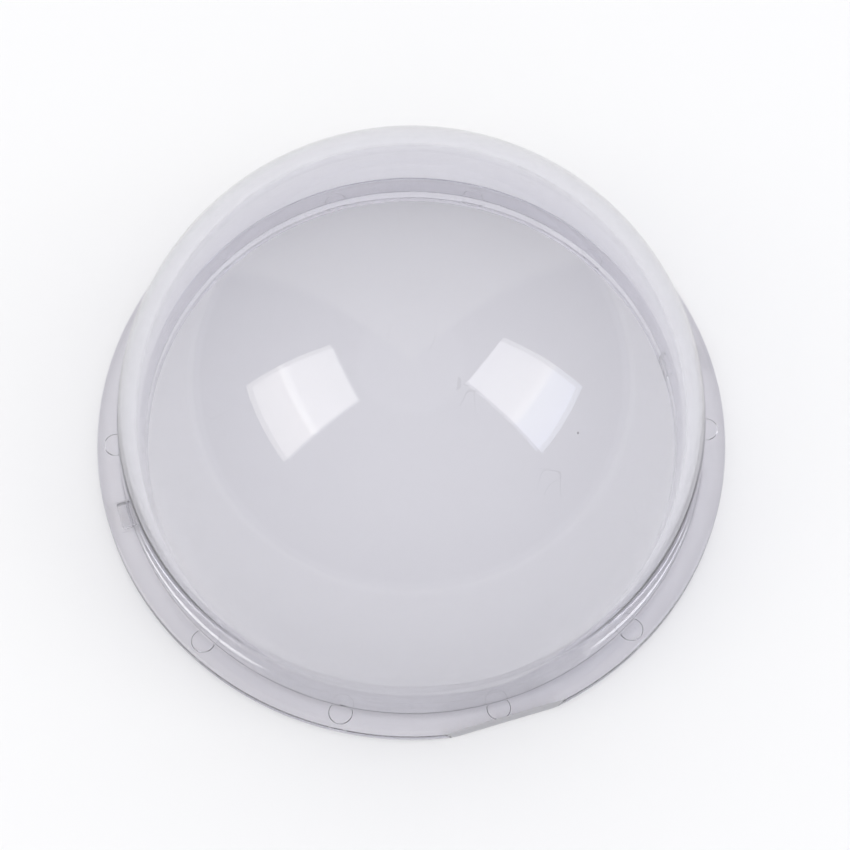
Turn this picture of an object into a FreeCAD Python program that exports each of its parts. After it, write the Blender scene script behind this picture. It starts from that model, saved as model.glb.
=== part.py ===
import FreeCAD, Part
import os
import Sketcher

# Clear dome cover: a thick-walled dome on a short drafted skirt, with a flat flange round its
# foot, moulded in one piece. Millimetres, +Z up through the apex. The origin is the centre of the
# flange's underside, which is the face that the cover stands on and is clamped by.

SIZES = {
    # dome and skirt
    "dome_radius": 50.8,  # outside of the dome
    "dome_wall": 3.2,  # same thickness from apex to mouth
    "centre_rise": 6.5,  # the dome's centre above the flange's top face
    "skirt_draft": 2.0,  # degrees that the skirt opens towards its foot
    "root_round": 0.35,  # where the skirt meets the flange
    "mouth_round": 0.3,  # inner edge of the mouth
    # flange
    "flange_width": 3.94,  # from the skirt's foot to the rim
    "flange_thickness": 2.3,
    "rim_top_round": 0.6,
    "rim_bottom_round": 0.25,
    # ejector-pin marks: shallow round dimples in the underside, repeated after half a turn
    "mark_offset": 0.74,  # from the skirt's foot out to the circle of marks and key slots
    "mark_radius": 2.0,
    "mark_depth": 0.12,
    "lone_mark_angle": 0.0,
    "group_start_angle": 45.0,
    "group_step_angle": 30.0,
    # key slots: two pockets in the underside that stop the cover turning in its seat
    "key_angle": 15.0,
    "key_length": 4.7,  # along the rim
    "key_width": 2.0,  # across the rim
    "key_depth": 1.5,
    "key_corner": 0.4,
    "insert_margin": 0.5,  # the mould insert's own outline, proud of the slot all round
    "insert_depth": 0.1,
    # orientation notch in the inner edge of the mouth
    "notch_angle": 255.0,
    "notch_width": 1.0,
    "notch_reach": 0.6,  # from the inner wall into the foot
    "notch_depth": 0.4,
    # flat left on the rim where the gate was trimmed off
    "gate_angle": 285.5,
    "gate_trim": 1.1,  # how far the flat lies inside the rim
}
MARKS_IN_GROUP = 4
HALF_TURN_COPIES = 2

# Sizes that follow from those above, as formulas of the sheet.
FOLLOWING = {
    "centre_height": "flange_thickness + centre_rise",
    "inner_radius": "dome_radius - dome_wall",
    "foot_radius": "dome_radius * cos(skirt_draft * 1deg)"
    " + (centre_rise + dome_radius * sin(skirt_draft * 1deg)) * tan(skirt_draft * 1deg)",
    "mouth_radius": "inner_radius * cos(skirt_draft * 1deg)"
    " + (centre_height + inner_radius * sin(skirt_draft * 1deg)) * tan(skirt_draft * 1deg)",
    "flange_radius": "foot_radius + flange_width",
    "mark_circle_radius": "foot_radius + mark_offset",
    "gate_distance": "flange_radius - gate_trim",
}


def fill_sheet(doc):
    """The driving sizes and what follows from them, one alias to a row."""
    sheet = doc.addObject("Spreadsheet::Sheet", "Sizes")
    rows = list(SIZES.items()) + [(name, "=" + formula) for name, formula in FOLLOWING.items()]
    for row, (name, value) in enumerate(rows, start=1):
        sheet.set(f"A{row}", name)
        sheet.setAlias(f"B{row}", name)
        sheet.set(f"B{row}", str(value))
    doc.recompute()
    return sheet


def size(sheet, name):
    """A cell's value as a plain number."""
    value = sheet.get(name)
    return float(getattr(value, "Value", value))


def origin_plane(body, role):
    return next(item for item in body.Origin.OriginFeatures if item.Role == role)


def new_sketch(body, name, role, turn=None):
    """A sketch on one of the body's own origin planes, turned about +Z by the size called turn."""
    sketch = body.newObject("Sketcher::SketchObject", name)
    sketch.AttachmentSupport = [(origin_plane(body, role), "")]
    sketch.MapMode = "FlatFace"
    if turn:
        upright = FreeCAD.Rotation(FreeCAD.Vector(0, 0, 1), 0)
        sketch.AttachmentOffset = FreeCAD.Placement(FreeCAD.Vector(), upright)
        sketch.setExpression("AttachmentOffset.Rotation.Angle", f"Sizes.{turn} * 1deg")
    return sketch


def bind(sketch, name, constraint, formula):
    """Adds a named constraint whose value is a formula of the sheet's sizes."""
    index = sketch.addConstraint(constraint)
    sketch.renameConstraint(index, name)
    sketch.setExpression(f"Constraints.{name}", formula)


def line(sketch, start, end, construction=False):
    points = (FreeCAD.Vector(*start, 0), FreeCAD.Vector(*end, 0))
    return sketch.addGeometry(Part.LineSegment(*points), construction)


def section_sketch(body, sheet):
    """Half of the cover's section, closed on the axis."""
    sketch = new_sketch(body, "Section", "XZ_Plane")
    rise = size(sheet, "centre_height")
    outer = size(sheet, "dome_radius")
    inner = size(sheet, "inner_radius")
    foot = size(sheet, "foot_radius")
    mouth = size(sheet, "mouth_radius")
    rim = size(sheet, "flange_radius")
    top = size(sheet, "flange_thickness")
    draft = FreeCAD.Units.Quantity(f"{size(sheet, 'skirt_draft')} deg").getValueAs("rad").Value
    quarter = FreeCAD.Units.Quantity("90 deg").getValueAs("rad").Value

    def arc(radius):
        circle = Part.Circle(FreeCAD.Vector(0, rise, 0), FreeCAD.Vector(0, 0, 1), radius)
        return sketch.addGeometry(Part.ArcOfCircle(circle, draft, quarter), False)

    outside = arc(outer)
    inside = arc(inner)
    outer_end = sketch.getPoint(outside, 1)
    inner_end = sketch.getPoint(inside, 1)
    skirt = line(sketch, (foot, top), (outer_end.x, outer_end.y))
    flange_top = line(sketch, (rim, top), (foot, top))
    edge = line(sketch, (rim, 0), (rim, top))
    underside = line(sketch, (mouth, 0), (rim, 0))
    inner_skirt = line(sketch, (mouth, 0), (inner_end.x, inner_end.y))
    apex = line(sketch, (0, rise + inner), (0, rise + outer))

    start, end, centre = 1, 2, 3
    x_axis, y_axis = -1, -2
    add = sketch.addConstraint
    add(Sketcher.Constraint("PointOnObject", outside, centre, y_axis))
    add(Sketcher.Constraint("Coincident", inside, centre, outside, centre))
    add(Sketcher.Constraint("Tangent", outside, start, skirt, end))
    add(Sketcher.Constraint("Tangent", inside, start, inner_skirt, end))
    add(Sketcher.Constraint("Coincident", skirt, start, flange_top, end))
    add(Sketcher.Constraint("Coincident", flange_top, start, edge, end))
    add(Sketcher.Constraint("Coincident", edge, start, underside, end))
    add(Sketcher.Constraint("Coincident", underside, start, inner_skirt, start))
    add(Sketcher.Constraint("Coincident", inside, end, apex, start))
    add(Sketcher.Constraint("Coincident", outside, end, apex, end))
    add(Sketcher.Constraint("PointOnObject", apex, start, y_axis))
    add(Sketcher.Constraint("PointOnObject", apex, end, y_axis))
    add(Sketcher.Constraint("Horizontal", flange_top))
    add(Sketcher.Constraint("Vertical", edge))
    add(Sketcher.Constraint("PointOnObject", underside, start, x_axis))
    add(Sketcher.Constraint("PointOnObject", underside, end, x_axis))
    add(Sketcher.Constraint("Parallel", skirt, inner_skirt))

    length, angle = Sketcher.Constraint, "(90 + Sizes.skirt_draft) * 1deg"
    bind(sketch, "OuterRadius", length("Radius", outside, outer), "Sizes.dome_radius")
    bind(sketch, "InnerRadius", length("Radius", inside, inner), "Sizes.inner_radius")
    centre_height = length("DistanceY", -1, 1, outside, centre, rise)
    bind(sketch, "CentreHeight", centre_height, "Sizes.centre_height")
    bind(sketch, "FlangeThickness", length("DistanceY", edge, top), "Sizes.flange_thickness")
    flange_width = length("DistanceX", flange_top, end, flange_top, start, rim - foot)
    bind(sketch, "FlangeWidth", flange_width, "Sizes.flange_width")
    bind(sketch, "SkirtDraft", length("Angle", skirt, quarter + draft), angle)
    return sketch


def revolved_shell(body, sheet):
    """The dome, skirt and flange as one turned solid."""
    sketch = section_sketch(body, sheet)
    body.Document.recompute()
    shell = body.newObject("PartDesign::Revolution", "Shell")
    shell.Profile = sketch
    shell.ReferenceAxis = (sketch, ["V_Axis"])
    shell.Angle = 360
    body.Tip = shell
    body.Document.recompute()
    return shell


def edge_at(shape, radius, height):
    """The name of the shape's full circle of this radius about the axis, at this height."""
    near = 0.01
    for number, edge in enumerate(shape.Edges, start=1):
        curve = edge.Curve
        if isinstance(curve, Part.Circle) and abs(curve.Radius - radius) < near:
            if abs(curve.Center.z - height) < near:
                return f"Edge{number}"
    raise RuntimeError(f"no edge of radius {radius:.3f} at height {height:.3f}")


def round_edge(body, sheet, name, radius_name, height_name, round_name):
    """Rounds one circular edge, found by the sizes that place it."""
    base = body.Tip
    height = size(sheet, height_name) if height_name else 0
    found = edge_at(base.Shape, size(sheet, radius_name), height)
    fillet = body.newObject("PartDesign::Fillet", name)
    fillet.Base = (base, [found])
    fillet.setExpression("Radius", f"Sizes.{round_name}")
    body.Tip = fillet
    body.Document.recompute()


def pocket(body, sketch, name, depth_name=None):
    """Cuts the sketch upwards into the underside, or right through where no depth is named."""
    body.Document.recompute()
    before = body.Tip.Shape.Volume
    cut = body.newObject("PartDesign::Pocket", name)
    cut.Profile = sketch
    cut.Reversed = True
    if depth_name:
        cut.Type = 0
        cut.setExpression("Length", f"Sizes.{depth_name}")
    else:
        cut.Type = 1
    body.Tip = cut
    body.Document.recompute()
    if cut.Shape.Volume >= before:
        raise RuntimeError(f"{name} cuts nothing")
    return cut


def repeat(body, feature, name):
    """Copies a feature after half a turn about +Z."""
    before = body.Tip.Shape.Volume
    pattern = body.newObject("PartDesign::PolarPattern", name)
    pattern.Originals = [feature]
    z_axis = next(item for item in body.Origin.OriginFeatures if item.Role == "Z_Axis")
    pattern.Axis = (z_axis, [""])
    pattern.Angle = 360
    pattern.Occurrences = HALF_TURN_COPIES
    body.Tip = pattern
    body.Document.recompute()
    if pattern.Shape.Volume >= before:
        raise RuntimeError(f"{name} adds nothing")


def ejector_marks(body, sheet):
    """A lone mark and a group of four, all on one circle, and the same again opposite."""
    sketch = new_sketch(body, "MarkOutlines", "XY_Plane")
    circle_radius = size(sheet, "mark_circle_radius")
    mark_radius = size(sheet, "mark_radius")
    formulas = ["Sizes.lone_mark_angle"]
    for step in range(MARKS_IN_GROUP):
        formulas.append(f"Sizes.group_start_angle + {step} * Sizes.group_step_angle")
    angles = [size(sheet, "lone_mark_angle")]
    for step in range(MARKS_IN_GROUP):
        turn = step * size(sheet, "group_step_angle")
        angles.append(size(sheet, "group_start_angle") + turn)

    for number, (formula, angle) in enumerate(zip(formulas, angles)):
        turn = FreeCAD.Rotation(FreeCAD.Vector(0, 0, 1), angle)
        place = turn.multVec(FreeCAD.Vector(circle_radius, 0, 0))
        spoke = line(sketch, (0, 0), (place.x, place.y), construction=True)
        round_outline = Part.Circle(place, FreeCAD.Vector(0, 0, 1), mark_radius)
        mark = sketch.addGeometry(round_outline, False)
        sketch.addConstraint(Sketcher.Constraint("Coincident", spoke, 1, -1, 1))
        sketch.addConstraint(Sketcher.Constraint("Coincident", spoke, 2, mark, 3))
        reach = Sketcher.Constraint("Distance", spoke, circle_radius)
        bind(sketch, f"Reach{number}", reach, "Sizes.mark_circle_radius")
        radius = Sketcher.Constraint("Radius", mark, mark_radius)
        bind(sketch, f"MarkRadius{number}", radius, "Sizes.mark_radius")
        slant = FreeCAD.Units.Quantity(f"{angle} deg").getValueAs("rad").Value
        bearing = Sketcher.Constraint("Angle", spoke, slant)
        bind(sketch, f"Bearing{number}", bearing, f"({formula}) * 1deg")
    marks = pocket(body, sketch, "EjectorMarks", "mark_depth")
    repeat(body, marks, "EjectorMarksOpposite")


def rectangle(sketch, low, high, formulas):
    """A rectangle square to the sketch's axes; formulas place its low x, high x, low y, high y."""
    bottom = line(sketch, (low[0], low[1]), (high[0], low[1]))
    right = line(sketch, (high[0], low[1]), (high[0], high[1]))
    top = line(sketch, (high[0], high[1]), (low[0], high[1]))
    left = line(sketch, (low[0], high[1]), (low[0], low[1]))
    sides = (bottom, right, top, left)
    for side, following in zip(sides, sides[1:] + sides[:1]):
        sketch.addConstraint(Sketcher.Constraint("Coincident", side, 2, following, 1))
    for side in (bottom, top):
        sketch.addConstraint(Sketcher.Constraint("Horizontal", side))
    for side in (right, left):
        sketch.addConstraint(Sketcher.Constraint("Vertical", side))
    low_x, high_x, low_y, high_y = formulas
    places = (
        ("LowX", Sketcher.Constraint("DistanceX", -1, 1, bottom, 1, low[0]), low_x),
        ("HighX", Sketcher.Constraint("DistanceX", -1, 1, bottom, 2, high[0]), high_x),
        ("LowY", Sketcher.Constraint("DistanceY", bottom, 1, -1, 1, -low[1]), low_y),
        ("HighY", Sketcher.Constraint("DistanceY", -1, 1, top, 1, high[1]), high_y),
    )
    for name, constraint, formula in places:
        bind(sketch, name, constraint, formula)


def tangential_pocket(body, sheet, name, turn, reach, half_length, depth_name):
    """A rectangular pocket square to the radius at the angle called turn.

    reach gives the formulas of its nearest and farthest distance from the axis, and half_length
    the formula of half its size along the rim."""
    sketch = new_sketch(body, f"{name}Outline", "XY_Plane", turn)
    values = []
    for formula in (*reach, half_length):
        sheet.set("D1", "=" + formula.replace("Sizes.", ""))
        body.Document.recompute()
        values.append(size(sheet, "D1"))
    sheet.clear("D1")
    near, far, half = values
    formulas = (*reach, half_length, half_length)
    rectangle(sketch, (near, -half), (far, half), formulas)
    return pocket(body, sketch, name, depth_name)


def key_slots(body, sheet):
    """Two blind slots with rounded corners, each in the outline that its mould insert leaves."""
    centre = "Sizes.mark_circle_radius"
    insert_reach = tuple(
        f"{centre} {sign} (Sizes.key_width / 2 + Sizes.insert_margin)" for sign in "-+"
    )
    insert_half = "Sizes.key_length / 2 + Sizes.insert_margin"
    outline = ("KeyInsert", "key_angle", insert_reach, insert_half, "insert_depth")
    insert = tangential_pocket(body, sheet, *outline)
    repeat(body, insert, "KeyInsertOpposite")
    slot_reach = tuple(f"{centre} {sign} Sizes.key_width / 2" for sign in "-+")
    outline = ("KeySlot", "key_angle", slot_reach, "Sizes.key_length / 2", "key_depth")
    slot = tangential_pocket(body, sheet, *outline)
    repeat(body, slot, "KeySlotOpposite")
    round_slot_corners(body, sheet)


def round_slot_corners(body, sheet):
    """Rounds the upright corners of both slots."""
    base = body.Tip
    low = size(sheet, "insert_depth")
    high = size(sheet, "key_depth")
    found = []
    for number, edge in enumerate(base.Shape.Edges, start=1):
        ends = sorted((vertex.Point for vertex in edge.Vertexes), key=lambda point: point.z)
        if len(ends) != 2 or (ends[1] - ends[0]).getAngle(FreeCAD.Vector(0, 0, 1)) > 0.01:
            continue
        if abs(ends[0].z - low) < 0.01 and abs(ends[1].z - high) < 0.01:
            found.append(f"Edge{number}")
    if len(found) != 4 * HALF_TURN_COPIES:
        raise RuntimeError(f"expected the corners of two slots, found {len(found)} edges")
    corners = body.newObject("PartDesign::Fillet", "KeySlotCorners")
    corners.Base = (base, found)
    corners.setExpression("Radius", "Sizes.key_corner")
    body.Tip = corners
    body.Document.recompute()


def orientation_notch(body, sheet):
    """A small square bite out of the mouth's inner edge."""
    reach = ("Sizes.mouth_radius - Sizes.notch_reach", "Sizes.mouth_radius + Sizes.notch_reach")
    outline = ("OrientationNotch", "notch_angle", reach, "Sizes.notch_width / 2", "notch_depth")
    tangential_pocket(body, sheet, *outline)


def gate_flat(body, sheet):
    """The flat on the rim where the gate was trimmed, through the flange's full thickness."""
    reach = ("Sizes.gate_distance", "Sizes.flange_radius + Sizes.gate_trim")
    tangential_pocket(body, sheet, "GateFlat", "gate_angle", reach, "Sizes.flange_radius / 2", None)


def dome_cover(doc, sheet):
    body = doc.addObject("PartDesign::Body", "DomeCover")
    body.Label = "dome_cover"
    revolved_shell(body, sheet)
    round_edge(body, sheet, "RootRound", "foot_radius", "flange_thickness", "root_round")
    round_edge(body, sheet, "RimTopRound", "flange_radius", "flange_thickness", "rim_top_round")
    round_edge(body, sheet, "RimBottomRound", "flange_radius", None, "rim_bottom_round")
    round_edge(body, sheet, "MouthRound", "mouth_radius", None, "mouth_round")
    gate_flat(body, sheet)
    ejector_marks(body, sheet)
    key_slots(body, sheet)
    orientation_notch(body, sheet)
    body.Placement = FreeCAD.Placement()
    return body


def check(doc, parts):
    """Stops with a message if any object failed or any sub-part isn't one valid solid."""
    for item in doc.Objects:
        if {"Invalid", "Error"} & set(item.State):
            raise RuntimeError(f"{item.Name} failed: {item.State}")
        if item.isDerivedFrom("Sketcher::SketchObject") and item.solve() != 0:
            raise RuntimeError(f"{item.Name} can't be solved")
    for part in parts:
        shape = part.Shape
        if shape.isNull() or not shape.isValid() or len(shape.Solids) != 1:
            raise RuntimeError(f"{part.Label} isn't one valid solid")


def main():
    doc = FreeCAD.newDocument("DomeCover")
    sheet = fill_sheet(doc)
    parts = [dome_cover(doc, sheet)]
    doc.recompute()
    check(doc, parts)
    os.makedirs("parts", exist_ok=True)
    for part in parts:
        part.Shape.exportStep(f"parts/{part.Label}.step")
        box = part.Shape.optimalBoundingBox(False)
        extents = f"{box.XLength:.2f} x {box.YLength:.2f} x {box.ZLength:.2f} mm"
        print(f"{part.Label}: {extents}, {part.Shape.Volume / 1000:.2f} cm3")


main()
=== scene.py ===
import math

import bpy
from mathutils import Matrix, Vector


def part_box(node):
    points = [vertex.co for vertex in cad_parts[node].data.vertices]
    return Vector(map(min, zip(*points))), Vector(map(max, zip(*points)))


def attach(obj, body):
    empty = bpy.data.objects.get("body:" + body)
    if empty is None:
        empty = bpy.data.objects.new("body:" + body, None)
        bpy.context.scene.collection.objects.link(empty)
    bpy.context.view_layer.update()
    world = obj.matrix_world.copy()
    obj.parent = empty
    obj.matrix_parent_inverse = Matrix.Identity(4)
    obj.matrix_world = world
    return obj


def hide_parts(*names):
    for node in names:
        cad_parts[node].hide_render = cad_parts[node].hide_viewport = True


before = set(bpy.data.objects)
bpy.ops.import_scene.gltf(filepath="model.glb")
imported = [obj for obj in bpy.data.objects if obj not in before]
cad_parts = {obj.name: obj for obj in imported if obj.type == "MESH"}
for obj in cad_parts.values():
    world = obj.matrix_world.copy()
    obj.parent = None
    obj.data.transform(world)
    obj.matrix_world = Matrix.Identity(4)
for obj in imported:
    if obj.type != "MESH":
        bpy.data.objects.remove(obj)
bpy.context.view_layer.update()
COVER_LOW, COVER_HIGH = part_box("dome_cover")
RIM_RADIUS = (COVER_HIGH.x - COVER_LOW.x) / 2
COVER_HEIGHT = COVER_HIGH.z - COVER_LOW.z

bl_info = {
    "name": "Clear Dome Cover",
    "version": (1, 0, 0),
    "blender": (4, 5, 0),
    "location": "View3D > Sidebar > Dome Cover",
    "description": "Models a clear moulded dome cover and the stage it is shown on",
    "category": "Add Mesh",
}

MM = 0.001
UP = Vector((0, 0, 1))
ACROSS = (0, 1, 0)  # the axis that the section is drawn about, square to its plane


def millimetres(name, description, value):
    """A length property, given in millimetres and kept in metres."""
    return bpy.props.FloatProperty(
        name=name, description=description, default=value * MM, unit="LENGTH", precision=5
    )


def degrees(name, description, value):
    return bpy.props.FloatProperty(
        name=name, description=description, default=math.radians(value), unit="ROTATION"
    )


def colour(name, description, value):
    return bpy.props.FloatVectorProperty(
        name=name, description=description, default=value, subtype="COLOR", min=0, max=1
    )


def factor(name, description, value, highest=1.0):
    return bpy.props.FloatProperty(
        name=name, description=description, default=value, min=0, max=highest
    )


class DomeCoverSizes(bpy.types.PropertyGroup):
    """Sizes of the moulding. Its overall size comes from the CAD frame."""

    wall: millimetres("Wall", "Thickness from apex to mouth", 3.2)
    centre_rise: millimetres("Centre rise", "Dome's centre above the flange's top face", 6.5)
    skirt_draft: degrees("Skirt draft", "How far the skirt opens towards its foot", 2.0)
    root_round: millimetres("Root round", "Where the skirt meets the flange", 0.35)
    mouth_round: millimetres("Mouth round", "Inner edge of the mouth", 0.3)
    flange_thickness: millimetres("Flange thickness", "Top face above the underside", 2.3)
    rim_top_round: millimetres("Rim top round", "Upper edge of the rim", 0.6)
    rim_bottom_round: millimetres("Rim bottom round", "Lower edge of the rim", 0.25)
    mark_circle: millimetres("Mark circle", "Radius that marks and key slots lie on", 51.8)
    mark_radius: millimetres("Mark radius", "Ejector-pin mark in the underside", 2.0)
    mark_depth: millimetres("Mark depth", "How deep the mark is pressed in", 0.12)
    mark_slope: millimetres("Mark slope", "Width of the mark's sloping edge", 0.1)
    key_angle: degrees("Key angle", "Where the first key slot lies", 15.0)
    key_length: millimetres("Key length", "Key slot along the rim", 4.7)
    key_width: millimetres("Key width", "Key slot across the rim", 2.0)
    key_depth: millimetres("Key depth", "Key slot into the underside", 1.5)
    key_corner: millimetres("Key corner", "Round on the slot's upright corners", 0.4)
    key_floor_round: millimetres("Key floor round", "Round at the foot of the slot's walls", 0.45)
    insert_margin: millimetres("Insert margin", "Mould insert's outline round the slot", 0.5)
    insert_depth: millimetres("Insert depth", "Mould insert's step", 0.1)
    notch_angle: degrees("Notch angle", "Where the mouth's square notch lies", 255.0)
    notch_width: millimetres("Notch width", "Square notch in the mouth's edge", 1.0)
    notch_reach: millimetres("Notch reach", "Notch from the inner wall into the foot", 0.6)
    notch_depth: millimetres("Notch depth", "Notch into the underside", 0.4)
    gate_angle: degrees("Gate angle", "Where the gate was trimmed off", 285.5)
    gate_trim: millimetres("Gate trim", "How far the trimmed flat lies inside the rim", 1.1)


class DomeCoverLooks(bpy.types.PropertyGroup):
    """Colours and finishes of the plastic and the stage."""

    dome_tint: colour("Dome tint", "What the dome's wall lets through", (0.90, 0.895, 0.922))
    # Painted light: a lighter copy of the dome's own plastic, which lifts the shade that falls on
    # the table under the flange.
    flange_lightened_tint: colour("Flange tint", "What the thinner flange lets through", (0.93, 0.92, 0.95))
    depth_tint: colour("Depth tint", "Colour that long ways through take on", (0.7, 0.698, 0.76))
    depth_density: factor("Depth density", "How soon they take it on, per metre", 66.0, 500.0)
    lamp_tint: colour("Lamp tint", "What each surface lets through of a lamp", (0.92, 0.92, 0.927))
    sheared_finish: factor("Sheared finish", "Roughness where the gate was cut off", 0.35)
    sparked_finish: factor("Sparked finish", "Roughness of the key slots' floors", 0.22)
    whitening: factor("Whitening", "How far the shear turned the plastic white", 0.5)
    dust: factor("Dust", "How much dust specks darken", 0.75)
    wear: factor("Wear", "Roughness of rubbed places", 0.10)
    table_top: colour("Table top", "Plain table under the part", (0.86, 0.86, 0.86))
    room: colour("Room", "Walls and ceiling that the dome mirrors", (0.66, 0.66, 0.70))
    backdrop: colour("Backdrop", "Paper behind the table", (1.0, 1.0, 1.0))


REFRACTIVE_INDEX = 1.585  # polycarbonate
ARC_STEPS = 60  # along the dome, from apex to skirt
ROUND_STEPS = 6  # along each small round
TURN_STEPS = 360  # round the axis
POLISHED, SHEARED, SPARKED = range(3)  # the finishes, in the order of the piece's slots
MARK_ANGLES = (0, 45, 75, 105, 135)  # degrees, and the same again opposite
HALF_TURNS = (0.0, math.pi)  # marks and key slots repeat after half a turn
GATE_BLOCK = (4 * MM, 26 * MM, 4 * MM)  # cutter that trims the gate: high, long and thick
GATE_UNEVENNESS = 0.35 * MM
GATE_LEAN = math.radians(7)
SPARKED_WHITENING = 0.25
HAIR_STRENGTH = 0.2  # how far a hair line darkens, beside a dust speck


# ---------------------------------------------------------------- modelling


def deselect_all():
    if bpy.context.object and bpy.context.object.mode != "OBJECT":
        bpy.ops.object.mode_set(mode="OBJECT")
    bpy.ops.object.select_all(action="DESELECT")


def start_outline(name, place):
    """A mesh of one vertex, left selected in edit mode, from which an outline is drawn."""
    deselect_all()
    bpy.ops.mesh.primitive_plane_add(size=MM, location=place)
    piece = bpy.context.object
    piece.name = piece.data.name = name
    bpy.ops.object.transform_apply(location=True, rotation=True, scale=True)
    bpy.ops.object.mode_set(mode="EDIT")
    bpy.ops.mesh.select_mode(type="VERT")
    bpy.ops.mesh.select_all(action="SELECT")
    bpy.ops.mesh.merge(type="CENTER")
    return piece


class Pen:
    """Draws an outline in the XZ plane by extruding its last vertex."""

    def __init__(self, name, place):
        self.place = Vector(place)
        self.piece = start_outline(name, place)

    def line_to(self, place, steps=1):
        step = (Vector(place) - self.place) / steps
        for _ in range(steps):
            bpy.ops.mesh.extrude_region_move(TRANSFORM_OT_translate={"value": step})
        self.place = Vector(place)

    def arc(self, centre, angle, steps):
        """Turns the last vertex about a centre; a positive angle goes from +Z towards +X."""
        bpy.ops.mesh.spin(steps=steps, angle=-angle, center=centre, axis=ACROSS)
        turn = Matrix.Rotation(angle, 3, "Y")
        self.place = Vector(centre) + turn @ (self.place - Vector(centre))


def draw_section(sizes):
    """Half of the moulding's section, from the outer apex round to the inner apex."""
    draft = sizes.skirt_draft
    slope = Vector((math.cos(draft), 0, math.sin(draft)))  # square to the skirt, outwards
    top = sizes.flange_thickness
    centre = Vector((0, 0, top + sizes.centre_rise))
    outer = COVER_HEIGHT - centre.z
    inner = outer - sizes.wall
    quarter = math.pi / 2
    sweep = quarter - draft

    def foot(radius, height):
        """Where the skirt tangent to a sphere of this radius comes down to a height."""
        touch = centre + radius * slope
        return touch.x + (touch.z - height) * math.tan(draft)

    def beside(radius, reach):
        """The centre of a round of this reach that touches the skirt and the level at its foot."""
        return radius + reach * (1 - math.sin(draft)) / math.cos(draft)

    root = Vector((beside(foot(outer, top), sizes.root_round), 0, top + sizes.root_round))
    mouth = Vector((beside(foot(inner, 0), sizes.mouth_round), 0, sizes.mouth_round))
    rim_top = Vector((RIM_RADIUS - sizes.rim_top_round, 0, top - sizes.rim_top_round))
    rim_bottom = Vector((RIM_RADIUS - sizes.rim_bottom_round, 0, sizes.rim_bottom_round))

    pen = Pen("clear_dome_cover", centre + outer * UP)
    pen.arc(centre, sweep, ARC_STEPS)
    pen.line_to(root - sizes.root_round * slope, 5)
    pen.arc(root, -sweep, ROUND_STEPS)
    pen.line_to((rim_top.x, 0, top), 4)
    pen.arc(rim_top, quarter, ROUND_STEPS)
    pen.line_to((RIM_RADIUS, 0, rim_bottom.z), 2)
    pen.arc(rim_bottom, quarter, ROUND_STEPS)
    pen.line_to((mouth.x, 0, 0), 4)
    pen.arc(mouth, sweep, ROUND_STEPS)
    pen.line_to(centre + inner * slope, 6)
    pen.arc(centre, -sweep, ARC_STEPS)
    return pen.piece


def spin_round(steps):
    """Turns the drawn section about +Z into a closed shell."""
    bpy.ops.mesh.select_all(action="SELECT")
    bpy.ops.mesh.spin(steps=steps, angle=2 * math.pi, center=(0, 0, 0), axis=UP)
    bpy.ops.mesh.select_all(action="SELECT")
    bpy.ops.mesh.remove_doubles(threshold=0.001 * MM)
    bpy.ops.mesh.normals_make_consistent(inside=False)
    bpy.ops.object.mode_set(mode="OBJECT")


def place_cutter(cutter, angle):
    """Turns a cutter made at angle 0 to its own angle about +Z, and applies its place."""
    cutter.matrix_world = Matrix.Rotation(angle, 4, "Z") @ cutter.matrix_world
    deselect_all()
    cutter.select_set(True)
    bpy.context.view_layer.objects.active = cutter
    bpy.ops.object.transform_apply(location=True, rotation=True, scale=True)


def mark_cutter(sizes, angle):
    """A low cone frustum whose sloping side leaves an ejector pin's edge."""
    deselect_all()
    depth, below = sizes.mark_depth, sizes.mark_depth
    bpy.ops.mesh.primitive_cone_add(
        vertices=96,
        radius1=sizes.mark_radius + sizes.mark_slope / 2 + sizes.mark_slope * below / depth,
        radius2=sizes.mark_radius - sizes.mark_slope / 2,
        depth=depth + below,
        location=(sizes.mark_circle, 0, (depth - below) / 2),
    )
    cutter = bpy.context.object
    place_cutter(cutter, angle)
    return cutter


def bevel_edges(cutter, chosen, width, segments):
    """Rounds the edges of a cutter that the test chooses by their two ends."""
    bpy.ops.object.mode_set(mode="EDIT")
    bpy.ops.mesh.select_mode(type="EDGE")
    bpy.ops.mesh.select_all(action="DESELECT")
    bpy.ops.object.mode_set(mode="OBJECT")
    points = cutter.data.vertices
    for edge in cutter.data.edges:
        edge.select = chosen(*(points[end].co for end in edge.vertices))
    bpy.ops.object.mode_set(mode="EDIT")
    bpy.ops.mesh.bevel(offset=width, segments=segments, affect="EDGES")
    bpy.ops.object.mode_set(mode="OBJECT")


def block_cutter(size, place, angle, corner=0.0, floor_round=0.0):
    """A block centred on place before it is turned, its upright and upper edges rounded."""
    deselect_all()
    bpy.ops.mesh.primitive_cube_add(size=1, location=place, scale=size)
    cutter = bpy.context.object
    bpy.ops.object.transform_apply(location=False, rotation=False, scale=True)
    top = place[2] + size[2] / 2 - 0.01 * MM
    if corner:
        bevel_edges(cutter, lambda a, b: abs((b - a).normalized().z) > 0.99, corner, 5)
    if floor_round:
        bevel_edges(cutter, lambda a, b: min(a.z, b.z) > top, floor_round, 3)
    place_cutter(cutter, angle)
    return cutter


def pocket_cutter(length, width, depth, place, angle, corner=0.0, floor_round=0.0):
    """A block that cuts a pocket of this depth into the underside."""
    below = MM
    centre = Vector((place, 0, (depth - below) / 2))
    return block_cutter((width, length, depth + below), centre, angle, corner, floor_round)


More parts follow.
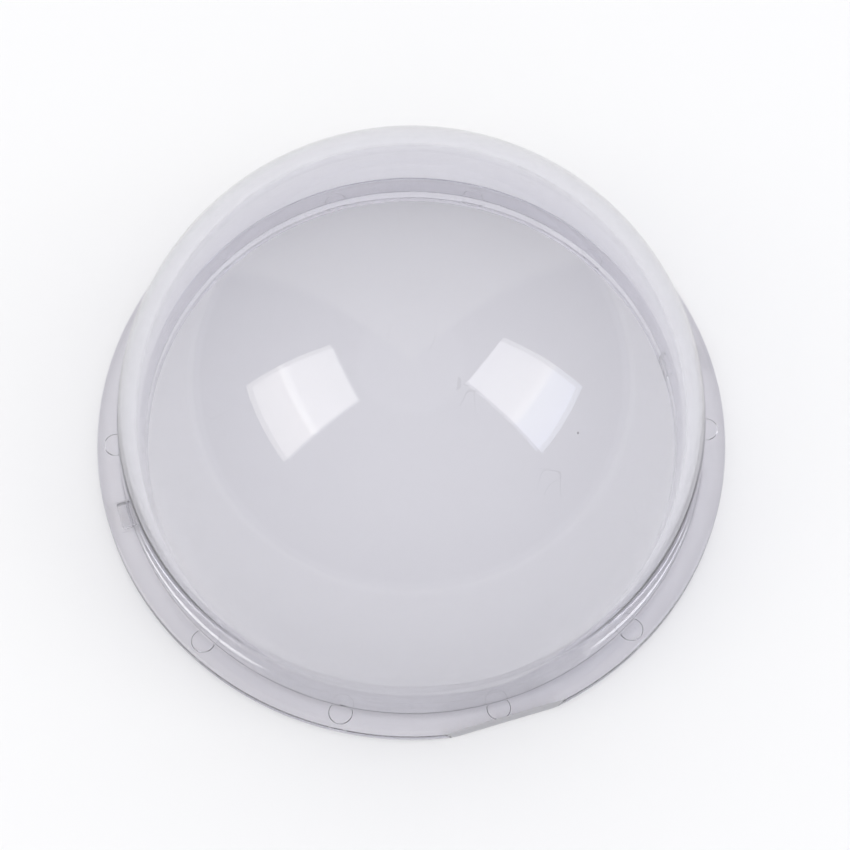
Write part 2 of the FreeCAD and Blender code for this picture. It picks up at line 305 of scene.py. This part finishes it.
def gate_cutter(sizes):
    """A block whose inner face is uneven, as a cutter leaves the stub of a gate."""
    deselect_all()
    height, length, thick = GATE_BLOCK
    bpy.ops.mesh.primitive_grid_add(
        x_subdivisions=52, y_subdivisions=8, size=1, location=(0, 0, 0), scale=(height, length, 1)
    )
    cutter = bpy.context.object
    bpy.ops.object.transform_apply(location=False, rotation=False, scale=True)
    bpy.ops.object.mode_set(mode="EDIT")
    bpy.ops.mesh.select_mode(type="VERT")
    bpy.ops.mesh.select_all(action="SELECT")
    bpy.ops.transform.vertex_random(offset=GATE_UNEVENNESS, seed=7)
    bpy.ops.mesh.vertices_smooth(factor=0.5, repeat=2)
    bpy.ops.mesh.select_all(action="SELECT")
    bpy.ops.mesh.extrude_region_move(TRANSFORM_OT_translate={"value": (0, 0, thick)})
    bpy.ops.mesh.select_all(action="SELECT")
    bpy.ops.mesh.normals_make_consistent(inside=False)
    bpy.ops.object.mode_set(mode="OBJECT")
    stand = Matrix.Translation((RIM_RADIUS - sizes.gate_trim, 0, sizes.flange_thickness))
    stand = stand @ Matrix.Rotation(math.pi / 2 - GATE_LEAN, 4, "Y")
    cutter.matrix_world = stand @ cutter.matrix_world
    place_cutter(cutter, sizes.gate_angle)
    return cutter


def cut(piece, cutters):
    """Takes the cutters away from the piece, one after another, and removes them."""
    for cutter in cutters:
        deselect_all()
        piece.select_set(True)
        bpy.context.view_layer.objects.active = piece
        boolean = piece.modifiers.new("Cut", "BOOLEAN")
        boolean.operation = "DIFFERENCE"
        boolean.solver = "EXACT"
        boolean.object = cutter
        bpy.ops.object.modifier_apply(modifier=boolean.name)
        bpy.data.objects.remove(cutter, do_unlink=True)


def join(objects):
    """Joins separate cutters into one, so that one cut serves for all."""
    deselect_all()
    for item in objects:
        item.select_set(True)
    bpy.context.view_layer.objects.active = objects[0]
    bpy.ops.object.join()
    return objects[0]


def cut_features(piece, sizes):
    """Ejector marks, key slots, the notch and the trimmed gate."""
    marks = [
        mark_cutter(sizes, math.radians(angle) + half)
        for half in HALF_TURNS
        for angle in MARK_ANGLES
    ]
    margin = 2 * sizes.insert_margin
    inserts, slots = [], []
    for half in HALF_TURNS:
        angle = sizes.key_angle + half
        size = (sizes.key_length + margin, sizes.key_width + margin, sizes.insert_depth)
        inserts.append(pocket_cutter(*size, sizes.mark_circle, angle, sizes.key_corner))
        size = (sizes.key_length, sizes.key_width, sizes.key_depth)
        slots.append(
            pocket_cutter(*size, sizes.mark_circle, angle, sizes.key_corner, sizes.key_floor_round)
        )
    inner_wall = min(v.co.xy.length for v in piece.data.vertices if v.co.z < sizes.mark_depth)
    size = (sizes.notch_width, 2 * sizes.notch_reach, sizes.notch_depth)
    notch = pocket_cutter(*size, inner_wall, sizes.notch_angle)
    cut(piece, [join(marks + inserts + [notch]), join(slots), gate_cutter(sizes)])


def finish_faces(piece, index, angle, chosen):
    """Gives a finish to the faces that the test chooses, seen as if they lay at angle 0."""
    back = Matrix.Rotation(-angle, 3, "Z")
    for face in piece.data.polygons:
        if chosen(back @ face.center, back @ face.normal):
            face.material_index = index


def finish_cuts(piece, sizes):
    """The gate's cut face is sheared, and the key slots' floors are spark-eroded."""
    flat = RIM_RADIUS - sizes.gate_trim
    half_chord = math.sqrt(RIM_RADIUS**2 - flat**2)

    def on_gate(centre, normal):
        near = abs(centre.x - flat) < 0.6 * MM and abs(centre.y) < half_chord
        return near and normal.x > 0.6 and centre.xy.length < RIM_RADIUS - 0.03 * MM

    def on_slot_floor(centre, normal):
        inside = abs(centre.x - sizes.mark_circle) < sizes.key_width / 2
        inside = inside and abs(centre.y) < sizes.key_length / 2
        return inside and normal.z < -0.9 and centre.z > sizes.key_depth - 0.05 * MM

    finish_faces(piece, SHEARED, sizes.gate_angle, on_gate)
    for half in HALF_TURNS:
        finish_faces(piece, SPARKED, sizes.key_angle + half, on_slot_floor)


def smooth(piece):
    """Smooth shading with crisp steps, and flat faces kept flat up to their rounds."""
    deselect_all()
    piece.select_set(True)
    bpy.context.view_layer.objects.active = piece
    bpy.ops.object.shade_smooth_by_angle(angle=math.radians(35))
    weighted = piece.modifiers.new("Weighted normals", "WEIGHTED_NORMAL")
    weighted.keep_sharp = True
    weighted.weight = 100
    bpy.ops.object.modifier_apply(modifier=weighted.name)


# ---------------------------------------------------------------- materials


def new_material(name):
    material = bpy.data.materials.new(name)
    material.use_nodes = True
    material.node_tree.nodes.clear()
    return material, material.node_tree


def node(tree, kind, **settings):
    """A shader node, with its properties and input values set by name."""
    made = tree.nodes.new(kind)
    for name, value in settings.items():
        if name in made.inputs:
            made.inputs[name].default_value = value
        else:
            setattr(made, name, value)
    return made


def links(tree, *pairs):
    """Links sockets, given as pairs of (node, output name) and (node, input name or index)."""
    for (source, output), (target, entry) in pairs:
        tree.links.new(source.outputs[output], target.inputs[entry])


def new_group(name, inputs, outputs):
    """A shader node group with number inputs, given with their defaults, and number outputs."""
    group = bpy.data.node_groups.new(name, "ShaderNodeTree")
    for label, value in inputs.items():
        socket = group.interface.new_socket(label, in_out="INPUT", socket_type="NodeSocketFloat")
        socket.default_value = value
    for label in outputs:
        group.interface.new_socket(label, in_out="OUTPUT", socket_type="NodeSocketFloat")
    return group, node(group, "NodeGroupInput"), node(group, "NodeGroupOutput")


def math_node(tree, operation, *values):
    made = node(tree, "ShaderNodeMath", operation=operation)
    for entry, value in enumerate(values):
        made.inputs[entry].default_value = value
    return made


def dust_specks():
    """Group: small round specks, most cells of the pattern left empty."""
    inputs = {"Scale": 100.0, "Radius": 0.03, "Empty": 0.6}
    group, given, out = new_group("dust_specks", inputs, ["Speck"])
    place = node(group, "ShaderNodeTexCoord")
    cells = node(group, "ShaderNodeTexVoronoi")
    pick = node(group, "ShaderNodeSeparateColor")
    radius = math_node(group, "MULTIPLY")
    inside = math_node(group, "LESS_THAN")
    kept = math_node(group, "GREATER_THAN")
    speck = math_node(group, "MULTIPLY")
    links(
        group,
        ((place, "Object"), (cells, "Vector")),
        ((given, "Scale"), (cells, "Scale")),
        ((cells, "Color"), (pick, "Color")),
        ((given, "Radius"), (radius, 0)),
        ((pick, "Green"), (radius, 1)),
        ((cells, "Distance"), (inside, 0)),
        ((radius, "Value"), (inside, 1)),
        ((pick, "Red"), (kept, 0)),
        ((given, "Empty"), (kept, 1)),
        ((inside, "Value"), (speck, 0)),
        ((kept, "Value"), (speck, 1)),
        ((speck, "Value"), (out, "Speck")),
    )
    return group


def hair_lines():
    """Group: a few thin curved lines, such as hairs and light scratches."""
    inputs = {"Scale": 70.0, "Width": 0.002, "Bare": 0.62}
    group, given, out = new_group("hair_lines", inputs, ["Line"])
    place = node(group, "ShaderNodeTexCoord")
    curves = node(group, "ShaderNodeTexNoise", Detail=1.0)
    patches = node(group, "ShaderNodeTexNoise", Scale=95.0, Detail=0.0)
    off_middle = math_node(group, "SUBTRACT", 0.0, 0.5)
    distance = math_node(group, "ABSOLUTE")
    thin = math_node(group, "LESS_THAN")
    kept = math_node(group, "GREATER_THAN")
    line = math_node(group, "MULTIPLY")
    links(
        group,
        ((place, "Object"), (curves, "Vector")),
        ((place, "Object"), (patches, "Vector")),
        ((given, "Scale"), (curves, "Scale")),
        ((curves, "Fac"), (off_middle, 0)),
        ((off_middle, "Value"), (distance, 0)),
        ((distance, "Value"), (thin, 0)),
        ((given, "Width"), (thin, 1)),
        ((patches, "Fac"), (kept, 0)),
        ((given, "Bare"), (kept, 1)),
        ((thin, "Value"), (line, 0)),
        ((kept, "Value"), (line, 1)),
        ((line, "Value"), (out, "Line")),
    )
    return group


def rubbed_places():
    """Group: the underside that slides on tables, and faint smudges from handling above it."""
    inputs = {"Rubbed height": 0.25 * MM, "Smudge": 0.12}
    group, given, out = new_group("rubbed_places", inputs, ["Rub"])
    place = node(group, "ShaderNodeTexCoord")
    split = node(group, "ShaderNodeSeparateXYZ")
    low = math_node(group, "LESS_THAN")
    grain = node(group, "ShaderNodeTexNoise", Scale=900.0, Detail=4.0)
    patchy = node(group, "ShaderNodeMapRange")
    patchy.inputs["From Min"].default_value = 0.5
    patchy.inputs["From Max"].default_value = 0.7
    underside = math_node(group, "MULTIPLY")
    smudges = node(group, "ShaderNodeTexNoise", Scale=28.0, Detail=3.0)
    faint = node(group, "ShaderNodeMapRange")
    faint.inputs["From Min"].default_value = 0.56
    faint.inputs["From Max"].default_value = 0.75
    smudged = math_node(group, "MULTIPLY")
    rub = math_node(group, "MAXIMUM")
    links(
        group,
        ((place, "Object"), (split, "Vector")),
        ((place, "Object"), (grain, "Vector")),
        ((place, "Object"), (smudges, "Vector")),
        ((split, "Z"), (low, 0)),
        ((given, "Rubbed height"), (low, 1)),
        ((grain, "Fac"), (patchy, "Value")),
        ((low, "Value"), (underside, 0)),
        ((patchy, "Result"), (underside, 1)),
        ((smudges, "Fac"), (faint, "Value")),
        ((faint, "Result"), (smudged, 0)),
        ((given, "Smudge"), (smudged, 1)),
        ((underside, "Value"), (rub, 0)),
        ((smudged, "Value"), (rub, 1)),
        ((rub, "Value"), (out, "Rub")),
    )
    return group


def place_group(tree, group, **values):
    made = node(tree, "ShaderNodeGroup", node_tree=group)
    for label, value in values.items():
        made.inputs[label.replace("_", " ")].default_value = value
    return made


def clear_plastic(name, looks, groups, finish=0.0, whitened=0.0):
    """The plastic in one finish: finish is its roughness, 0 if polished, whitened its opacity."""
    material, tree = new_material(name)
    dust, hairs, rubs = groups
    plastic = node(tree, "ShaderNodeBsdfPrincipled")
    plastic.inputs["IOR"].default_value = REFRACTIVE_INDEX
    plastic.inputs["Transmission Weight"].default_value = 1.0 - whitened

    place = node(tree, "ShaderNodeTexCoord")
    split = node(tree, "ShaderNodeSeparateXYZ")
    # Painted light: below 2.7 to 2.2 mm the flange and the skirt's foot take the lighter flange
    # tint instead of the dome tint, which lifts the shade under the flange.
    flange = node(tree, "ShaderNodeMapRange")
    flange.inputs["From Min"].default_value = 2.7 * MM
    flange.inputs["From Max"].default_value = 2.2 * MM
    tint = node(tree, "ShaderNodeMix", data_type="RGBA")
    tint.inputs["A"].default_value = (*looks.dome_tint, 1)
    tint.inputs["B"].default_value = (*looks.flange_lightened_tint, 1)
    specks = place_group(tree, dust, Scale=110.0, Radius=0.03, Empty=0.7)
    lines = place_group(tree, hairs, Scale=70.0, Width=0.0009, Bare=0.70)
    faint = math_node(tree, "MULTIPLY", 0.0, HAIR_STRENGTH)
    soiling = math_node(tree, "MAXIMUM")
    soiled = math_node(tree, "MULTIPLY", 0.0, looks.dust)
    darken = node(tree, "ShaderNodeMix", data_type="RGBA")
    darken.inputs["B"].default_value = (0.12, 0.11, 0.10, 1)
    worn = place_group(tree, rubs, Smudge=0.12)
    roughness = node(tree, "ShaderNodeMapRange")
    roughness.inputs["To Min"].default_value = finish
    roughness.inputs["To Max"].default_value = max(finish, looks.wear)
    grain = node(tree, "ShaderNodeTexNoise", Scale=4000.0 if finish else 1500.0, Detail=3.0)
    relief = math_node(tree, "MULTIPLY", 0.0, 1.0)
    bump = node(tree, "ShaderNodeBump", Strength=0.5 if finish else 0.15, Distance=0.02 * MM)

    lamp_light = node(tree, "ShaderNodeBsdfTransparent")
    lamp_light.inputs["Color"].default_value = (*looks.lamp_tint, 1)
    path = node(tree, "ShaderNodeLightPath")
    mix = node(tree, "ShaderNodeMixShader")
    depth = node(tree, "ShaderNodeVolumeAbsorption")
    depth.inputs["Color"].default_value = (*looks.depth_tint, 1)
    depth.inputs["Density"].default_value = looks.depth_density
    out = node(tree, "ShaderNodeOutputMaterial")
    links(
        tree,
        ((place, "Object"), (split, "Vector")),
        ((split, "Z"), (flange, "Value")),
        ((flange, "Result"), (tint, "Factor")),
        ((specks, "Speck"), (soiling, 0)),
        ((lines, "Line"), (faint, 0)),
        ((faint, "Value"), (soiling, 1)),
        ((soiling, "Value"), (soiled, 0)),
        ((soiled, "Value"), (darken, "Factor")),
        ((tint, "Result"), (darken, "A")),
        ((darken, "Result"), (plastic, "Base Color")),
        ((worn, "Rub"), (roughness, "Value")),
        ((roughness, "Result"), (plastic, "Roughness")),
        ((place, "Object"), (grain, "Vector")),
        ((grain, "Fac"), (relief, 0)),
        ((relief, "Value"), (bump, "Height")),
        ((bump, "Normal"), (plastic, "Normal")),
        ((path, "Is Shadow Ray"), (mix, "Fac")),
        ((plastic, "BSDF"), (mix, 1)),
        ((lamp_light, "BSDF"), (mix, 2)),
        ((mix, "Shader"), (out, "Surface")),
        ((depth, "Volume"), (out, "Volume")),
    )
    if not finish:
        tree.links.new(worn.outputs["Rub"], relief.inputs[1])
    return material


def cover_materials(looks):
    """The polished plastic, and the same plastic where it was sheared or spark-eroded."""
    groups = (dust_specks(), hair_lines(), rubbed_places())
    return [
        clear_plastic("clear_polycarbonate", looks, groups),
        clear_plastic(
            "clear_polycarbonate_sheared", looks, groups, looks.sheared_finish, looks.whitening
        ),
        clear_plastic(
            "clear_polycarbonate_sparked", looks, groups, looks.sparked_finish, SPARKED_WHITENING
        ),
    ]


def floor_finish(looks):
    material, tree = new_material("table_top")
    surface = node(tree, "ShaderNodeBsdfPrincipled")
    surface.inputs["Base Color"].default_value = (*looks.table_top, 1)
    surface.inputs["Roughness"].default_value = 0.6
    out = node(tree, "ShaderNodeOutputMaterial")
    tree.links.new(surface.outputs["BSDF"], out.inputs["Surface"])
    return material


# ---------------------------------------------------------------- operators


class DOMECOVER_OT_moulding(bpy.types.Operator):
    """Models the clear dome cover in place of its CAD node"""

    bl_idname = "dome_cover.moulding"
    bl_label = "Moulding"

    def execute(self, context):
        sizes = context.scene.dome_cover_sizes
        piece = draw_section(sizes)
        spin_round(TURN_STEPS)
        cut_features(piece, sizes)
        piece.data.materials.clear()
        for material in cover_materials(context.scene.dome_cover_looks):
            piece.data.materials.append(material)
        finish_cuts(piece, sizes)
        smooth(piece)
        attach(piece, "root")
        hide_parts("dome_cover")
        return {"FINISHED"}


FLOOR_GAP = 0.1 * MM  # a clear part never lies quite flush, so light turns back at its underside
TABLE = 1.5  # small, so that the paler floor of the room shows beyond it
SOFTBOX = (0.64, 0.92)
# How bright a softbox's cloth is at each height, from its lower edge
LEFT_CLOTH = (
    (0.0, (0.53, 0.52, 0.47)),
    (1.0, (0.55, 0.55, 0.51)),
    (0.34, (0.60, 0.58, 0.53)),
    (0.38, (1.00, 0.99, 0.92)),
    (0.43, (0.62, 0.61, 0.57)),
)
RIGHT_CLOTH = (
    (0.0, (0.68, 0.72, 0.80)),
    (1.0, (0.70, 0.70, 0.68)),
    (0.29, (0.72, 0.76, 0.80)),
    (0.35, (1.00, 1.00, 0.94)),
    (0.42, (0.78, 0.78, 0.74)),
)
CAMERA_DISTANCE = 0.5493  # from the centre of the flange's top face
CAMERA_TILT = math.radians(22.28)  # off the dome's axis
CAMERA_TURN = math.radians(-1.63)
CAMERA_LENS = 132.85
CAMERA_SHIFT = (0.01612, 0.01082)
BOUNCES = 40  # light is passed on inside the wall for a long way
CEILING_LIFT = 0.14  # how much paler the ceiling is than the walls
GROUND = (1.12, 1.12, 1.14)  # the room's floor beyond the table


def aim(place, target, spin=0.0):
    """The placement of a camera or light at place that looks at target."""
    look = (Vector(target) - Vector(place)).to_track_quat("-Z", "Y")
    return Matrix.Translation(place) @ look.to_matrix().to_4x4() @ Matrix.Rotation(spin, 4, "Z")


def add_floor(looks):
    deselect_all()
    bpy.ops.mesh.primitive_plane_add(size=TABLE, location=(0, 0, -FLOOR_GAP))
    floor = bpy.context.object
    floor.name = "table_top"
    floor.data.materials.append(floor_finish(looks))


def add_lamp(name, centre, facing, across, size, watts):
    """A flat lamp: centre and facing place it, across is the direction of its short side."""
    deselect_all()
    bpy.ops.object.light_add(type="AREA", location=centre)
    lamp = bpy.context.object
    lamp.name = name
    lamp.data.shape = "RECTANGLE"
    lamp.data.size, lamp.data.size_y = size
    lamp.data.energy = watts
    back = -Vector(facing).normalized()
    side = Vector(across)
    side = (side - side.dot(back) * back).normalized()
    rise = back.cross(side)
    turn = Matrix((side, rise, back)).transposed().to_4x4()
    lamp.matrix_world = Matrix.Translation(centre) @ turn
    return lamp


def light_cloth(lamp, stops):
    """Colours a softbox's cloth from its lower edge to its upper one, brighter at the tube."""
    lamp.data.use_nodes = True
    tree = lamp.data.node_tree
    tree.nodes.clear()
    place = node(tree, "ShaderNodeNewGeometry")
    split = node(tree, "ShaderNodeSeparateXYZ")
    cloth = node(tree, "ShaderNodeValToRGB")
    cloth.color_ramp.interpolation = "EASE"
    ends = list(cloth.color_ramp.elements)
    for entry, (height, tone) in enumerate(stops):
        stop = ends[entry] if entry < 2 else cloth.color_ramp.elements.new(height)
        stop.position = height
        stop.color = (*tone, 1)
    glow = node(tree, "ShaderNodeEmission")
    out = node(tree, "ShaderNodeOutputLight")
    links(
        tree,
        ((place, "Parametric"), (split, "Vector")),
        ((split, "Y"), (cloth, "Fac")),
        ((cloth, "Color"), (glow, "Color")),
        ((glow, "Emission"), (out, "Surface")),
    )


def add_lights():
    left = add_lamp(
        "softbox_left",
        Vector((-0.848, -0.158, 1.008)),
        Vector((0.822, 0.328, -0.466)),
        Vector((0.382, -0.923, 0.024)),
        SOFTBOX,
        7.2,
    )
    light_cloth(left, LEFT_CLOTH)
    right = add_lamp(
        "softbox_right",
        Vector((0.884, -0.107, 0.982)),
        Vector((-0.692, 0.545, -0.474)),
        Vector((0.630, 0.775, -0.027)),
        SOFTBOX,
        5.4,
    )
    light_cloth(right, RIGHT_CLOTH)
    above = add_lamp(
        "fill_above", Vector((0, 0, 1.6)), Vector((0, 0, -1)), Vector((1, 0, 0)), (1.6, 1.6), 3.4
    )
    above.visible_glossy = False
    above.visible_transmission = False
    above.visible_camera = False


def add_camera():
    target = Vector((0, 0, 2.3 * MM))
    back = Vector((0, -math.sin(CAMERA_TILT), math.cos(CAMERA_TILT)))
    back = Matrix.Rotation(CAMERA_TURN, 3, "Z") @ back
    place = target + CAMERA_DISTANCE * back
    deselect_all()
    bpy.ops.object.camera_add(location=place)
    camera = bpy.context.object
    camera.matrix_world = aim(place, target)
    camera.data.lens = CAMERA_LENS
    camera.data.sensor_width = 36
    camera.data.shift_x, camera.data.shift_y = CAMERA_SHIFT
    camera.data.clip_start = 0.01
    bpy.context.scene.camera = camera


def add_world(looks):
    """A dim room with a paler ceiling, paper behind the table and a bright floor round it."""
    world = bpy.data.worlds.new("soft_room")
    bpy.context.scene.world = world
    world.use_nodes = True
    tree = world.node_tree
    tree.nodes.clear()
    place = node(tree, "ShaderNodeTexCoord")
    split = node(tree, "ShaderNodeSeparateXYZ")
    flat = node(tree, "ShaderNodeCombineXYZ")
    unit = node(tree, "ShaderNodeVectorMath", operation="NORMALIZE")
    level = node(tree, "ShaderNodeSeparateXYZ")
    paper = node(tree, "ShaderNodeMapRange", interpolation_type="SMOOTHSTEP")
    paper.inputs["From Min"].default_value = 0.64
    paper.inputs["From Max"].default_value = 0.70
    ceiling = node(tree, "ShaderNodeMapRange", interpolation_type="SMOOTHSTEP")
    ceiling.inputs["From Min"].default_value = 0.93
    ceiling.inputs["From Max"].default_value = 0.945
    below = node(tree, "ShaderNodeMapRange", interpolation_type="SMOOTHSTEP")
    below.inputs["From Min"].default_value = 0.02
    below.inputs["From Max"].default_value = -0.02
    room = node(tree, "ShaderNodeMix", data_type="RGBA")
    room.inputs["A"].default_value = (*looks.room, 1)
    room.inputs["B"].default_value = (*(tone + CEILING_LIFT for tone in looks.room), 1)
    sweep = node(tree, "ShaderNodeMix", data_type="RGBA")
    sweep.inputs["B"].default_value = (*looks.backdrop, 1)
    ground = node(tree, "ShaderNodeMix", data_type="RGBA")
    ground.inputs["B"].default_value = (*GROUND, 1)
    light = node(tree, "ShaderNodeBackground")
    out = node(tree, "ShaderNodeOutputWorld")
    links(
        tree,
        ((place, "Generated"), (split, "Vector")),
        ((split, "X"), (flat, "X")),
        ((split, "Y"), (flat, "Y")),
        ((flat, "Vector"), (unit, 0)),
        ((unit, "Vector"), (level, "Vector")),
        ((level, "Y"), (paper, "Value")),
        ((split, "Z"), (ceiling, "Value")),
        ((split, "Z"), (below, "Value")),
        ((ceiling, "Result"), (room, "Factor")),
        ((room, "Result"), (sweep, "A")),
        ((paper, "Result"), (sweep, "Factor")),
        ((sweep, "Result"), (ground, "A")),
        ((below, "Result"), (ground, "Factor")),
        ((ground, "Result"), (light, "Color")),
        ((light, "Background"), (out, "Surface")),
    )


class DOMECOVER_OT_stage(bpy.types.Operator):
    """Sets out the table top, the soft lights and the camera"""

    bl_idname = "dome_cover.stage"
    bl_label = "Stage"

    def execute(self, context):
        looks = context.scene.dome_cover_looks
        add_floor(looks)
        add_lights()
        add_camera()
        add_world(looks)
        context.scene.view_settings.view_transform = "Standard"
        context.scene.cycles.max_bounces = BOUNCES
        context.scene.cycles.transmission_bounces = BOUNCES
        return {"FINISHED"}


class DOMECOVER_PT_panel(bpy.types.Panel):
    """Lists the dome cover's sizes, looks and operators"""

    bl_idname = "DOMECOVER_PT_panel"
    bl_label = "Dome Cover"
    bl_space_type = "VIEW_3D"
    bl_region_type = "UI"
    bl_category = "Dome Cover"

    def draw(self, context):
        layout = self.layout
        for group in (context.scene.dome_cover_sizes, context.scene.dome_cover_looks):
            column = layout.column(align=True)
            for name in group.__annotations__:
                column.prop(group, name)
        for operator in OPERATORS:
            layout.operator(operator.bl_idname)


OPERATORS = (DOMECOVER_OT_moulding, DOMECOVER_OT_stage)
CLASSES = (DomeCoverSizes, DomeCoverLooks, *OPERATORS, DOMECOVER_PT_panel)


def register():
    for item in CLASSES:
        bpy.utils.register_class(item)
    bpy.types.Scene.dome_cover_sizes = bpy.props.PointerProperty(type=DomeCoverSizes)
    bpy.types.Scene.dome_cover_looks = bpy.props.PointerProperty(type=DomeCoverLooks)


def unregister():
    del bpy.types.Scene.dome_cover_looks
    del bpy.types.Scene.dome_cover_sizes
    for item in reversed(CLASSES):
        bpy.utils.unregister_class(item)


def main():
    register()
    bpy.ops.dome_cover.moulding()
    bpy.ops.dome_cover.stage()


if __name__ == "__main__":
    main()
